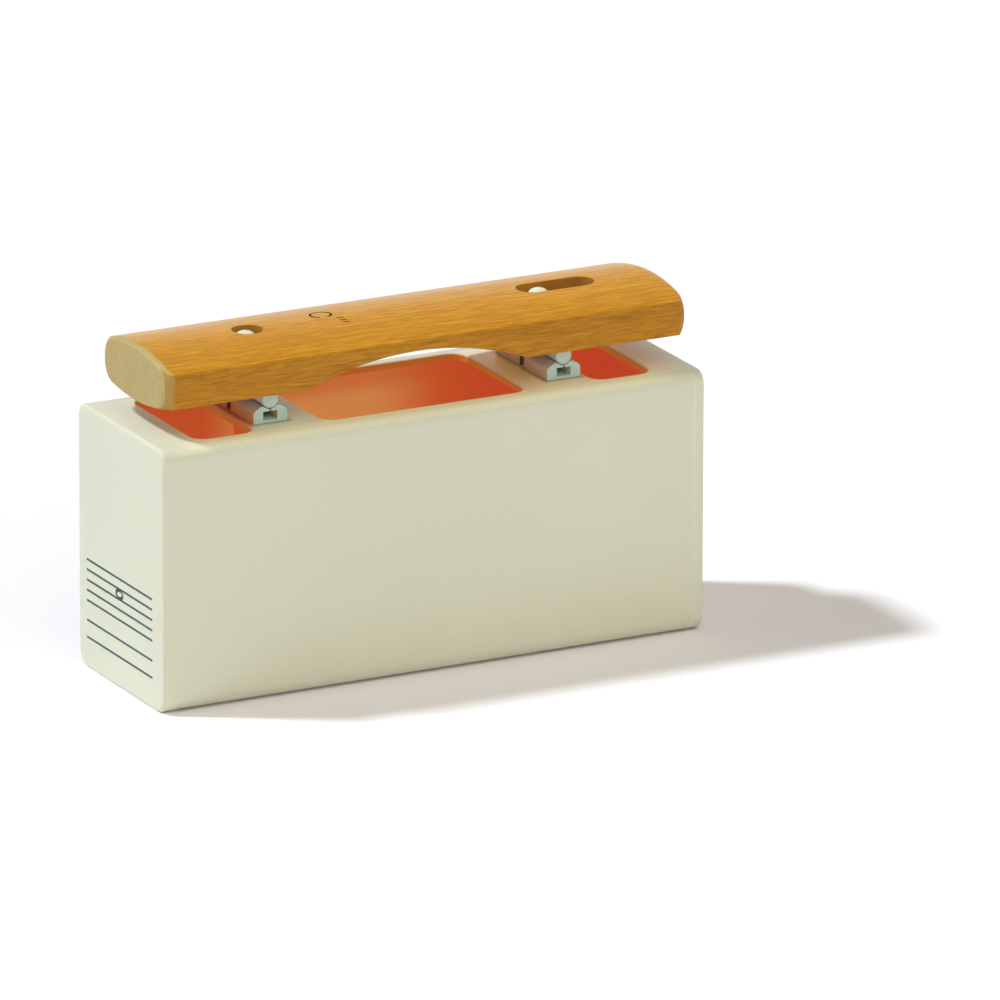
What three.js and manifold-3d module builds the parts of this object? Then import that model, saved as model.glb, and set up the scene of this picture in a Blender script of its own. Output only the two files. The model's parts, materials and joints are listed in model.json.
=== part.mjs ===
// Resonator bar: a tuned wooden tone bar that lies on four cushion cords, held by two guide
// pins over a hollow moulded resonator box. Millimetres, +Z up, +X along the bar and the
// front of the box towards -Y. The origin is the middle of the box's base.

import * as THREE from 'three';
import { mergeVertices } from 'three/addons/utils/BufferGeometryUtils.js';
import Module from 'manifold-3d';

// Resonator box
const boxLength = 203;
const boxWidth = 65;
const boxHeight = 92;
const wall = 2.5;
const topEdgeRound = 4.7;
const baseEdgeRound = 6;
const endEdgeRound = 1.2;

// End cap, glued into the open end of the box
const capThickness = 4;
const spigotDepth = 6;
const spigotWall = 2;

// Windows in the top, set in from the sides and ends, with a bridge between each two
const windowLedge = 7.5;
const endLedge = 16;
const centreWindowLength = 76;
const windowCornerRound = 5;
const windowRimRound = 0.9;

// Support blocks, a front one and a rear one on each bridge
const supportSpacing = 110;
const supportReach = 18.8;
const supportWidth = 12.6;
const supportHeight = 5.9;
const supportLedge = 2.2;
const sideHeight = 3.4;
const shoulderWidth = 6.4;
const shoulderDrop = 1.2;
const cavityWidth = 5.2;
const cavityFloor = 1;
const slitWidth = 0.5;
const slitDepth = 0.8;

// Cushion cords in the grooves of the blocks, pressed flat under the bar
const cordDiameter = 5.9;
const cordSink = 0.8;
const cordPress = 3.1;

// Guide pins in bosses under the bridges, and the sleeves on them
const pinDiameter = 2.4;
const pinChamfer = 0.3;
const bossDiameter = 8;
const bossDepth = 8;
const bossFloor = 2;
const sleeveDiameter = 7;
const sleeveRim = 0.8;
const sleeveTopDrop = 0.6;
const sleeveTopWall = 2.2;

// Tone bar
const barLength = 194.4;
const barOffset = 0.9;
const barWidth = 50;
const barSideHeight = 11.4;
const barCrown = 4;
const barBelly = 3.8;
const barEdgeRound = 0.6;

// Sanded ends of the bar, where the section draws in and its corners grow rounder
const endRoundDepth = 2.4;
const endSideInset = 3.1;
const endFaceInset = 1.8;
const endCornerRound = 4.8;

// Tuning arch under the bar, hole over the left pin and slot over the right one
const archDepth = 11.1;
const archRadius = 112;
const archOffset = -3.5;
const holeDiameter = 11;
const slotLength = 28.5;
const slotLead = 2.7;

// Gaps between pieces, and margins that let a cut run past a face
const fitGap = 0.3;
const restGap = 0.3;
const cutMargin = 5;

// Segments of round forms, and the distance under which two vertices are one
const cornerSteps = 6;
const roundSteps = 32;
const cordSteps = 16;
const slotEndSteps = 16;
const crownSteps = 16;
const archSteps = 24;
const endSteps = 4;
const mergeDistance = 1e-4;

// Places worked out from the sizes above
const seamX = boxLength / 2 - capThickness;
const leastInnerRound = wall / 2;
const supportX = supportSpacing / 2;
const outerWindowFrom = supportX + supportWidth / 2 + supportLedge;
const outerWindowTo = boxLength / 2 - endLedge;
const pinGap = pinDiameter + 2 * fitGap;
const cordRadius = cordDiameter / 2;
const cordAxisZ = boxHeight + supportHeight - cordSink + cordRadius;
const barBottomZ = cordAxisZ + cordRadius - cordPress + restGap;
const barTopZ = barBottomZ + barBelly + barSideHeight + barCrown;
const pinBottomZ = boxHeight - wall - bossDepth + bossFloor;
const sleeveTopZ = barTopZ - sleeveTopDrop;
const sleeveBottomZ = barBottomZ + sleeveRim;
const pinTopZ = sleeveTopZ - sleeveTopWall;

const finishes = {
  creamPlastic: { color: 0xe0e0cc, roughness: 0.32, metalness: 0 },
  paleBlock: { color: 0xc3d2cb, roughness: 0.55, metalness: 0 },
  whiteRubber: { color: 0xe9eae4, roughness: 0.6, metalness: 0 },
  steel: { color: 0xb4b6b8, roughness: 0.3, metalness: 1 },
  lacqueredWood: { color: 0xcd9337, roughness: 0.38, metalness: 0 },
};

const wasm = await Module();
wasm.setup();

const X = new THREE.Vector3(1, 0, 0);
const Y = new THREE.Vector3(0, 1, 0);
const Z = new THREE.Vector3(0, 0, 1);

// A closed solid from a geometry, with its shared vertices merged and empty triangles left out.
function solid(geometry) {
  const bare = geometry.clone();
  bare.deleteAttribute('normal');
  bare.deleteAttribute('uv');
  const merged = mergeVertices(bare, mergeDistance);
  const corners = merged.index.array;
  const triVerts = [];
  for (let k = 0; k < corners.length; k += 3) {
    const [a, b, c] = [corners[k], corners[k + 1], corners[k + 2]];
    if (a !== b && b !== c && c !== a) triVerts.push(a, b, c);
  }
  const vertProperties = Float32Array.from(merged.attributes.position.array);
  return new wasm.Manifold(new wasm.Mesh({
    numProp: 3,
    vertProperties,
    triVerts: Uint32Array.from(triVerts),
  }));
}

function named(name, body, finish) {
  const { vertProperties, triVerts } = body.getMesh();
  const geometry = new THREE.BufferGeometry();
  geometry.setAttribute('position', new THREE.BufferAttribute(vertProperties, 3));
  geometry.setIndex(new THREE.BufferAttribute(triVerts, 1));
  geometry.computeVertexNormals();
  const mesh = new THREE.Mesh(geometry, new THREE.MeshStandardMaterial(finish));
  mesh.name = name;
  return mesh;
}

// A section drawn in Y and Z, drawn out along X; its end edges are rounded when round is given.
function alongX(section, from, to, round = 0) {
  const geometry = new THREE.ExtrudeGeometry(section, {
    depth: to - from - 2 * round,
    bevelEnabled: round > 0,
    bevelThickness: round,
    bevelSize: round,
    bevelOffset: -round,
    bevelSegments: endSteps,
    curveSegments: cornerSteps,
  });
  geometry.translate(0, 0, from + round);
  geometry.applyMatrix4(new THREE.Matrix4().makeBasis(Y, Z, X));
  return solid(geometry);
}

// A section drawn in X and Z, drawn out along Y.
function alongY(section, from, to, steps) {
  const geometry = new THREE.ExtrudeGeometry(section, {
    depth: to - from,
    bevelEnabled: false,
    curveSegments: steps,
  });
  geometry.translate(0, 0, -to);
  geometry.applyMatrix4(new THREE.Matrix4().makeBasis(X, Z, Y.clone().negate()));
  return solid(geometry);
}

// A section drawn in X and Y, drawn out along Z.
function alongZ(section, from, to, steps) {
  const geometry = new THREE.ExtrudeGeometry(section, {
    depth: to - from,
    bevelEnabled: false,
    curveSegments: steps,
  });
  geometry.translate(0, 0, from);
  return solid(geometry);
}

// A profile of radius and height, turned about the Z axis at (x, y).
function turned(profile, x, y) {
  const points = profile.map(([radius, height]) => new THREE.Vector2(radius, height));
  const geometry = new THREE.LatheGeometry(points, roundSteps);
  geometry.rotateX(Math.PI / 2);
  geometry.translate(x, y, 0);
  return solid(geometry);
}

// A solid through rings of points, alike in number and turning the same way, from low to high.
function lofted(rings) {
  const count = rings[0].length;
  const last = (rings.length - 1) * count;
  const corners = [];
  for (let ring = 0; ring < last; ring += count) {
    for (let k = 0; k < count; k += 1) {
      const next = (k + 1) % count;
      corners.push(ring + k, ring + next, ring + count + k);
      corners.push(ring + next, ring + count + next, ring + count + k);
    }
  }
  for (let k = 1; k < count - 1; k += 1) {
    corners.push(0, k + 1, k);
    corners.push(last, last + k, last + k + 1);
  }
  const geometry = new THREE.BufferGeometry().setFromPoints(rings.flat());
  geometry.setIndex(corners);
  return solid(geometry);
}

function arcPoints(x, y, radius, from, to, steps) {
  return Array.from({ length: steps + 1 }, (_, step) => {
    const angle = from + (to - from) * step / steps;
    return new THREE.Vector2(x + radius * Math.cos(angle), y + radius * Math.sin(angle));
  });
}

function block(lowX, highX, lowZ, highZ) {
  const geometry = new THREE.BoxGeometry(highX - lowX, boxWidth + 2 * cutMargin, highZ - lowZ);
  geometry.translate((lowX + highX) / 2, 0, (lowZ + highZ) / 2);
  return solid(geometry);
}

// A straight-sided slot along X with round ends.
function slotShape(lowX, highX, width) {
  const round = width / 2;
  const outline = new THREE.Shape();
  outline.absarc(highX - round, 0, round, -Math.PI / 2, Math.PI / 2);
  outline.absarc(lowX + round, 0, round, Math.PI / 2, 1.5 * Math.PI);
  return outline;
}

function disc(x, y, diameter) {
  return new THREE.Shape().absarc(x, y, diameter / 2, 0, 2 * Math.PI);
}

// The box's section, moved in from its outside by inset.
function boxSection(inset) {
  const side = boxWidth / 2 - inset;
  const top = boxHeight - inset;
  const topRound = Math.max(topEdgeRound - inset, leastInnerRound);
  const baseRound = Math.max(baseEdgeRound - inset, leastInnerRound);
  const outline = new THREE.Shape();
  outline.absarc(side - topRound, top - topRound, topRound, 0, Math.PI / 2);
  outline.absarc(-side + topRound, top - topRound, topRound, Math.PI / 2, Math.PI);
  outline.absarc(-side + baseRound, inset + baseRound, baseRound, Math.PI, 1.5 * Math.PI);
  outline.absarc(side - baseRound, inset + baseRound, baseRound, 1.5 * Math.PI, 2 * Math.PI);
  return outline;
}

// The whole rounded block, which the seam parts into the moulded box and its cap.
function boxBlock() {
  return alongX(boxSection(0), -boxLength / 2, boxLength / 2, endEdgeRound);
}

// The cut for one window, flared at the top so that it leaves a rounded rim.
function topWindow(lowX, highX) {
  const round = Math.min(windowCornerRound, (highX - lowX) / 2);
  const side = boxWidth / 2 - windowLedge - round;
  const middle = (lowX + highX) / 2;
  const reach = highX - round - middle;
  const ring = (flare, z) => [0, 1, 2, 3].flatMap((quarter) => {
    const x = middle + (quarter === 0 || quarter === 3 ? reach : -reach);
    const y = quarter < 2 ? side : -side;
    const from = quarter * Math.PI / 2;
    const corner = arcPoints(x, y, round + flare, from, from + Math.PI / 2, cornerSteps);
    return corner.map((point) => new THREE.Vector3(point.x, point.y, z));
  });
  const rings = [ring(0, boxHeight - wall - cutMargin)];
  for (let step = 0; step <= endSteps; step += 1) {
    const angle = Math.PI / 2 * step / endSteps;
    const drop = windowRimRound * (1 - Math.sin(angle));
    rings.push(ring(windowRimRound * (1 - Math.cos(angle)), boxHeight - drop));
  }
  rings.push(ring(windowRimRound, boxHeight + cutMargin));
  return lofted(rings);
}

function resonatorBox() {
  const pastSeam = block(seamX, boxLength, -cutMargin, boxHeight + cutMargin);
  const cavity = alongX(boxSection(wall), -boxLength / 2 + wall, boxLength / 2);
  let body = boxBlock().subtract(pastSeam).subtract(cavity);
  body = body.subtract(topWindow(-centreWindowLength / 2, centreWindowLength / 2));
  body = body.subtract(topWindow(-outerWindowTo, -outerWindowFrom));
  body = body.subtract(topWindow(outerWindowFrom, outerWindowTo));
  for (const side of [-1, 1]) {
    const pinX = side * supportX;
    const bossTop = boxHeight - wall / 2;
    const bossBottom = boxHeight - wall - bossDepth;
    const boss = alongZ(disc(pinX, 0, bossDiameter), bossBottom, bossTop, roundSteps);
    const bore = alongZ(disc(pinX, 0, pinGap), pinBottomZ, boxHeight + cutMargin, roundSteps);
    body = body.add(boss).subtract(bore);
  }
  return body;
}

function endCap() {
  const beforeSeam = block(-boxLength, seamX, -cutMargin, boxHeight + cutMargin);
  const plate = boxBlock().subtract(beforeSeam);
  const spigotFrom = seamX - spigotDepth;
  const spigotTo = boxLength / 2 - capThickness / 2;
  const spigot = alongX(boxSection(wall + fitGap), spigotFrom, spigotTo);
  const hollow = alongX(boxSection(wall + fitGap + spigotWall), spigotFrom - cutMargin, seamX);
  return plate.add(spigot.subtract(hollow));
}

// One block's section: a flat base, sloped shoulders, a groove for the cord, and a cavity
// that a slit opens into the groove.
function supportSection(centreX) {
  const half = supportWidth / 2;
  const base = boxHeight;
  const top = base + supportHeight;
  const grooveRadius = cordRadius + fitGap;
  const mouthAngle = Math.asin((cordAxisZ - top) / grooveRadius);
  const slitAngle = Math.acos(slitWidth / 2 / grooveRadius);
  const cavityTop = cordAxisZ - grooveRadius - slitDepth;
  const outline = new THREE.Shape();
  outline.moveTo(centreX - half, base);
  outline.lineTo(centreX + half, base);
  outline.lineTo(centreX + half, base + sideHeight);
  outline.quadraticCurveTo(centreX + half, top - shoulderDrop, centreX + shoulderWidth / 2, top);
  outline.absarc(centreX, cordAxisZ, grooveRadius, -mouthAngle, -slitAngle, true);
  outline.lineTo(centreX + slitWidth / 2, cavityTop);
  outline.lineTo(centreX + cavityWidth / 2, cavityTop);
  outline.lineTo(centreX + cavityWidth / 2, base + cavityFloor);
  outline.lineTo(centreX - cavityWidth / 2, base + cavityFloor);
  outline.lineTo(centreX - cavityWidth / 2, cavityTop);
  outline.lineTo(centreX - slitWidth / 2, cavityTop);
  outline.absarc(centreX, cordAxisZ, grooveRadius, slitAngle - Math.PI, mouthAngle - Math.PI, true);
  outline.lineTo(centreX - shoulderWidth / 2, top);
  outline.quadraticCurveTo(centreX - half, top - shoulderDrop, centreX - half, base + sideHeight);
  outline.closePath();
  return outline;
}

// One ring round the bar at x: flat sides, the crown over the top, the belly below and rounded
// corners. Sanding, from 0 to 1, draws it in from the full section to the bar's end face.
function barRing(x, bottomZ, sanding) {
  const half = barWidth / 2 - sanding * endSideInset;
  const limit = barSideHeight / 2 - sanding * endFaceInset / 2;
  const round = Math.min(barEdgeRound + sanding * (endCornerRound - barEdgeRound), limit);
  const inset = sanding * endFaceInset;
  const sideBottom = bottomZ + barBelly;
  const crown = cappedArc(half, barCrown, inset, round);
  const belly = cappedArc(half, barBelly, inset, round);
  return [
    ...crown.map(({ x: y, y: z }) => new THREE.Vector3(x, y, sideBottom + barSideHeight + z)),
    ...belly.map(({ x: y, y: z }) => new THREE.Vector3(x, -y, sideBottom - z)),
  ];
}

// A wide arc of the given rise across the bar, drawn in by inset and cut off at half to either
// side, with a rounded corner at each end. Its heights count from the full section's side edge.
function cappedArc(half, rise, inset, round) {
  const radius = ((barWidth / 2) ** 2 + rise ** 2) / (2 * rise);
  const centre = rise - radius;
  const cornerX = half - round;
  const cornerY = Math.sqrt((radius - inset - round) ** 2 - cornerX ** 2);
  const spread = Math.atan2(cornerY, cornerX);
  return [
    ...arcPoints(cornerX, centre + cornerY, round, 0, spread, endSteps),
    ...arcPoints(0, centre, radius - inset, spread, Math.PI - spread, crownSteps).slice(1, -1),
    ...arcPoints(-cornerX, centre + cornerY, round, Math.PI - spread, Math.PI, endSteps),
  ];
}

// The bar before its arch, hole and slot are cut.
function barBlank(bottomZ) {
  const from = barOffset - barLength / 2;
  const to = from + barLength;
  const left = [];
  const right = [];
  for (let step = 0; step <= endSteps; step += 1) {
    const angle = Math.PI / 2 * step / endSteps;
    const along = endRoundDepth * (1 - Math.cos(angle));
    const sanding = 1 - Math.sin(angle);
    left.push(barRing(from + along, bottomZ, sanding));
    right.unshift(barRing(to - along, bottomZ, sanding));
  }
  return lofted([...left, ...right]);
}

function cushionCord(centreX, lowY, highY) {
  const cord = alongY(disc(centreX, cordAxisZ, cordDiameter), lowY, highY, cordSteps);
  return cord.subtract(barBlank(barBottomZ - restGap));
}

function guidePin(x) {
  const radius = pinDiameter / 2;
  const tip = radius - pinChamfer;
  return turned([
    [0, pinBottomZ],
    [tip, pinBottomZ],
    [radius, pinBottomZ + pinChamfer],
    [radius, pinTopZ - pinChamfer],
    [tip, pinTopZ],
    [0, pinTopZ],
  ], x, 0);
}

// A sleeve with a blind bore for the pin and a domed top.
function pinSleeve(x) {
  const radius = sleeveDiameter / 2;
  const bore = pinGap / 2;
  const domeHeight = sleeveTopWall - fitGap;
  const profile = [[0, pinTopZ], [bore, pinTopZ], [bore, sleeveBottomZ], [radius, sleeveBottomZ]];
  for (let step = 0; step < cornerSteps; step += 1) {
    const angle = Math.PI / 2 * step / cornerSteps;
    const height = sleeveTopZ - domeHeight + domeHeight * Math.sin(angle);
    profile.push([radius * Math.cos(angle), height]);
  }
  profile.push([0, sleeveTopZ]);
  return turned(profile, x, 0);
}

// The tuning arch: a shallow cylinder across the underside.
function archCut() {
  const spread = Math.acos(1 - (archDepth + cutMargin) / archRadius);
  const outline = new THREE.Shape();
  const centreX = barOffset + archOffset;
  const centreZ = barBottomZ + archDepth - archRadius;
  outline.absarc(centreX, centreZ, archRadius, Math.PI / 2 - spread, Math.PI / 2 + spread);
  return alongY(outline, -barWidth, barWidth, archSteps);
}

function toneBar() {
  const slotFrom = supportX - slotLead - holeDiameter / 2;
  const slotOutline = slotShape(slotFrom, slotFrom + slotLength, holeDiameter);
  const low = barBottomZ - cutMargin;
  const high = barTopZ + cutMargin;
  return barBlank(barBottomZ)
    .subtract(archCut())
    .subtract(alongZ(disc(-supportX, 0, holeDiameter), low, high, roundSteps))
    .subtract(alongZ(slotOutline, low, high, slotEndSteps));
}

const resonatorBar = new THREE.Group();
resonatorBar.name = 'resonator_bar';
resonatorBar.add(named('resonator_box', resonatorBox(), finishes.creamPlastic));
resonatorBar.add(named('end_cap', endCap(), finishes.creamPlastic));

const ends = { left: -supportX, right: supportX };
const halves = { front: [-supportReach, -pinGap / 2], rear: [pinGap / 2, supportReach] };
for (const [end, x] of Object.entries(ends)) {
  for (const [half, [lowY, highY]] of Object.entries(halves)) {
    const support = alongY(supportSection(x), lowY, highY, cornerSteps);
    resonatorBar.add(named(`support_${end}_${half}`, support, finishes.paleBlock));
    resonatorBar.add(named(`cushion_${end}_${half}`, cushionCord(x, lowY, highY), finishes.whiteRubber));
  }
  resonatorBar.add(named(`guide_pin_${end}`, guidePin(x), finishes.steel));
  resonatorBar.add(named(`pin_sleeve_${end}`, pinSleeve(x), finishes.whiteRubber));
}
resonatorBar.add(named('tone_bar', toneBar(), finishes.lacqueredWood));

export default resonatorBar;
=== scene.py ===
"""Resonator bar: a wooden tone bar that lies on cushion cords over a hollow moulded box.

The box, its cap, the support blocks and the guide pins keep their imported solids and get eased
edges and finishes. The bar, the cords, the sleeves and the prints are modelled here, in the
frame's metres: +Z up, +X along the bar, the front towards -Y.
"""

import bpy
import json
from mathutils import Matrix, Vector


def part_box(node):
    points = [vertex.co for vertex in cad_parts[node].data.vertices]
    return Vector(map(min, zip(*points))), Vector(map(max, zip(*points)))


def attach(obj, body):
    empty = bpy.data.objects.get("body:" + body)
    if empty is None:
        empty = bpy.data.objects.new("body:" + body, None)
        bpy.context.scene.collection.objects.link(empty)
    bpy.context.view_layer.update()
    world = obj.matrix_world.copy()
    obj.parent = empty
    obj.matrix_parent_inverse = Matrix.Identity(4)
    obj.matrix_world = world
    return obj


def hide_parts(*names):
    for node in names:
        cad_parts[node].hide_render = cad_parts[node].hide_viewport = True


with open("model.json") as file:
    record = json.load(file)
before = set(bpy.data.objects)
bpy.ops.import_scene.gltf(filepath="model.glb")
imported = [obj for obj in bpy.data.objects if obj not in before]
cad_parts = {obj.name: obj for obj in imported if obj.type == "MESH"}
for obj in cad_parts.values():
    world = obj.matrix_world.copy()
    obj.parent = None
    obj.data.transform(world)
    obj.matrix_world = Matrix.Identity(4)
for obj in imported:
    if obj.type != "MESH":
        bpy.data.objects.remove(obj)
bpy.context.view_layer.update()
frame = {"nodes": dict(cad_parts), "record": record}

import json
import math

import bmesh
import bpy
from bpy.props import FloatProperty, FloatVectorProperty, PointerProperty
from mathutils import Matrix, Vector

bl_info = {
    "name": "Resonator bar",
    "version": (1, 0, 0),
    "blender": (4, 5, 0),
    "location": "3D View > Sidebar > Resonator bar",
    "description": "Models and finishes a resonator bar on its packed frame",
    "category": "Object",
}

MM = 0.001

BOX_LOW, BOX_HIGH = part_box("resonator_box")
CAP_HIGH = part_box("end_cap")[1]
BAR_LOW, BAR_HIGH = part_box("tone_bar")
BLOCK_LOW, BLOCK_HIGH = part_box("support_right_rear")
BLOCK_MIDDLE = (BLOCK_LOW + BLOCK_HIGH) / 2
BLOCK_REACH = (BLOCK_HIGH - BLOCK_LOW) / 2
SUPPORT_X = sum(corner.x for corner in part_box("guide_pin_right")) / 2
SLOT_COLOURS = {row["slot"]: tuple(row["base_color"]) for row in frame["record"]["materials"]}

# Wall and windows of the box, which have no boxes of their own in the frame
WALL = 2.5 * MM
WINDOW_SIDE = BOX_HIGH.y - 7.5 * MM
CENTRE_WINDOW_END = 38 * MM
OUTER_WINDOW_START = SUPPORT_X + BLOCK_REACH.x + 2.2 * MM
OUTER_WINDOW_END = CAP_HIGH.x - 16 * MM

# Steps along and around the modelled pieces
CORNER_STEPS = 6
CROWN_STEPS = 48
END_STEPS = 10
STRAIGHT_STEPS = 22
ARCH_STEPS = 56
RIM_STEPS = 4
CUT_STEPS = 35
CORD_STEPS = 40
CORD_STATIONS = 24
SLEEVE_STEPS = 48
DOME_STEPS = 10
LETTER_STEPS = 40
TICK_STEPS = 6
LINE_STEPS = 20
NOTE_STEPS = 40


def length(name, description, default):
    """A setting in metres."""
    return FloatProperty(
        name=name, description=description, default=default, unit="LENGTH", precision=5
    )


def share(name, description, default):
    """A setting between 0 and 1."""
    return FloatProperty(
        name=name, description=description, default=default, min=0, max=1, subtype="FACTOR"
    )


def strength(name, description, default):
    """A setting for a lamp."""
    return FloatProperty(name=name, description=description, default=default, min=0)


def colour(name, description, default):
    """A setting for a finish, a lamp or the floor."""
    return FloatVectorProperty(
        name=name, description=description, default=default, size=3, min=0, max=1, subtype="COLOR"
    )


class ShellSettings(bpy.types.PropertyGroup):
    """Finish of the moulded box and its cap."""

    outside: colour("Outside", "Cream of the moulding", SLOT_COLOURS["cream_plastic"])
    # Seam is a painted highlight: a pale line along the joint of the cap
    seam: colour("Seam", "Pale line where the cap is glued on", (0.77, 0.79, 0.65))
    # Inside is painted light: an orange that stands for the light through the cream walls, like
    # the glows below
    inside: colour("Inside", "Colour of the inner walls", (0.55, 0.085, 0.026))
    glow: colour("Glow", "Light that comes through the inner walls", (0.247, 0.062, 0.017))
    pale_glow: colour("Pale glow", "The same under the middle of the bar", (0.296, 0.192, 0.055))
    deep_glow: colour("Deep glow", "The same at the capped end", (0.247, 0.045, 0.016))
    cut_glow: colour("Cut glow", "The same in the cut edges of the windows", (0.19, 0.085, 0.013))
    bleed: colour("Bleed", "Warm light that the right bridge lets through", (0.135, 0.072, 0.014))
    left_bleed: colour("Left bleed", "The same in the left bridge", (0.055, 0.07, 0.04))
    ledge_bleed: colour("Ledge bleed", "The same beside the windows", (0.172, 0.152, 0.062))
    # The strip and its bleed are painted shade and orange bounce light beside the left window
    strip: colour("Strip", "Reddened strip beside the left window", (0.79, 0.30, 0.12))
    strip_bleed: colour("Strip bleed", "Light that the strip lets through", (0.10, 0.02, 0.0))
    edge_round: length("Edge round", "Radius of the long top edges", 4.7 * MM)
    edge_ease: length("Edge ease", "Width of the eased sharp edges", 0.22 * MM)
    skin: length("Skin", "Depth at which the cream turns to the inner colour", 0.5 * MM)
    roughness: share("Roughness", "Roughness of the moulding", 0.4)


class SupportSettings(bpy.types.PropertyGroup):
    """Finish of the support blocks and the guide pins."""

    block: colour("Blocks", "Pale grey-green of the blocks", (0.57, 0.77, 0.78))
    # Block sides and Left side are painted light: warm bounce on the sides, orange glow from the
    # left window
    painted_bounce_side: colour("Block sides", "Warmer tone of the blocks' sides", (0.78, 0.70, 0.58))
    painted_glow_side: colour("Left side", "Tone of the sides by the left window", (0.745, 0.525, 0.24))
    block_edge: colour("Block edges", "Paler tone of the eased edges", (0.78, 0.83, 0.80))
    block_gap: colour("Gap", "Shade between a front and a rear block", (0.10, 0.058, 0.034))
    steel: colour("Pins", "Drawn wire of the pins", SLOT_COLOURS["pin_steel"])
    edge_ease: length("Edge ease", "Width of the eased sharp edges", 0.2 * MM)


class SoftSettings(bpy.types.PropertyGroup):
    """Sizes and finish of the cushion cords and the pin sleeves."""

    cord: colour("Cords", "Matt rubber of the cords", (0.67, 0.82, 0.77))
    sleeve: colour("Sleeves", "White rubber of the sleeves", (0.79, 0.80, 0.66))
    cord_diameter: length("Cord diameter", "Diameter of a cord at rest", 5.9 * MM)
    cord_touch: length("Cord touch", "Gap left under the bar", 0.03 * MM)
    cord_end_round: length("Cord end round", "Rounding of a cord's cut ends", 0.35 * MM)
    sleeve_rise: length("Sleeve rise", "How far a dome stands above the plain sleeve", 0.35 * MM)
    sleeve_dome: length("Sleeve dome", "Height of a sleeve's dome", 2.1 * MM)
    sleeve_bore: length("Sleeve bore", "Diameter of a sleeve's bore", 3.0 * MM)


class BarSettings(bpy.types.PropertyGroup):
    """Sizes and finish of the tone bar."""

    wood: colour("Wood", "Honey-coloured lacquered wood", (0.70, 0.325, 0.017))
    late_wood: colour("Late wood", "Darker lines of the grain", (0.54, 0.212, 0.009))
    side_wood: colour("Side wood", "Darker tone of the sides", (0.345, 0.15, 0.027))
    # Rear wood is painted shade and sheen: the top's rear half darker and yellower
    painted_rear_shade_sheen: colour("Rear wood", "Yellower tone of the top's rear half", (0.60, 0.40, 0.012))
    end_grain: colour("End grain", "Bare wood of the sanded ends", (0.52, 0.40, 0.18))
    end_strip: colour("End strip", "Bare wood around the end faces", (0.46, 0.285, 0.08))
    cut_wood: colour("Cut wood", "Wood inside the hole and the slot", (0.46, 0.21, 0.04))
    crown: length("Crown", "Rise of the crowned top", 4.0 * MM)
    belly: length("Belly", "Rise of the rounded underside", 3.2 * MM)
    corner_round: length("Corner round", "Radius of the long edges", 0.6 * MM)
    end_depth: length("End depth", "Length of the sanded ends", 2.4 * MM)
    left_side_inset: length("Left inset", "How far the left end draws in sideways", 3.0 * MM)
    rear_depth: length("Rear depth", "Further sanding at the left end's rear corner", 1.5 * MM)
    right_side_inset: length("Right inset", "How far the right end draws in sideways", 1.4 * MM)
    end_face_inset: length("End face inset", "How far they draw in above and below", 0.6 * MM)
    end_corner_round: length("End corner round", "Corner radius of the end faces", 6.6 * MM)
    arch_depth: length("Arch depth", "Depth of the tuning arch", 11.1 * MM)
    arch_radius: length("Arch radius", "Radius of the tuning arch", 107 * MM)
    arch_offset: length("Arch offset", "Arch's place along the bar from its middle", -3.5 * MM)
    hole_diameter: length("Hole diameter", "Diameter of the hole and width of the slot", 10.6 * MM)
    hole_shift: length("Hole shift", "Hole's place to the right of the left pin", 0.8 * MM)
    slot_length: length("Slot length", "Length of the slot", 28.5 * MM)
    slot_lead: length("Slot lead", "Slot's reach to the left of the round one", 2.7 * MM)
    rim_ease: length("Rim ease", "Rounding of the hole's and the slot's rims", 0.3 * MM)


class PrintSettings(bpy.types.PropertyGroup):
    """Sizes and inks of the pitch mark and the staff."""

    mark_ink: colour("Mark ink", "Dark brown of the pitch mark", (0.085, 0.042, 0.008))
    staff_ink: colour("Staff ink", "Teal grey of the staff", (0.085, 0.155, 0.155))
    film: length("Film", "Thickness of a print above its surface", 0.02 * MM)
    staff_width: length("Staff width", "Length of the staff's lines", 50 * MM)
    staff_space: length("Staff space", "Space between two lines", 3.6 * MM)
    staff_base: length("Staff base", "Height of the lowest line", 24 * MM)
    line_width: length("Line width", "Width of a line", 0.8 * MM)


class StageSettings(bpy.types.PropertyGroup):
    """Floor, light and camera."""

    floor: colour("Floor", "Colour of the floor", (0.97, 0.93, 0.99))
    floor_lift: share("Floor lift", "White added to what the camera sees of the floor", 0.045)
    key: strength("Key", "Strength of the key light", 2.33)
    key_tone: colour("Key tone", "Colour of the key light", (0.873, 0.974, 1.0))
    front: strength("Front", "Strength of the front light", 0.985)
    front_tone: colour("Front tone", "Colour of the front light", (1.0, 0.98, 0.75))
    sky: share("Sky", "Strength of the even light from all round", 0.28)
    sky_tone: colour("Sky tone", "Colour of the even light", (1.0, 0.94, 0.88))
    camera_distance: length("Camera distance", "From the camera to its target", 4.8)
    lens: FloatProperty(
        name="Lens", description="Focal length of the camera", default=512, unit="CAMERA"
    )


class ResonatorSettings(bpy.types.PropertyGroup):
    """All settings of the resonator bar."""

    shell: PointerProperty(type=ShellSettings)
    support: PointerProperty(type=SupportSettings)
    soft: PointerProperty(type=SoftSettings)
    bar: PointerProperty(type=BarSettings)
    prints: PointerProperty(type=PrintSettings)
    stage: PointerProperty(type=StageSettings)


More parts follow.
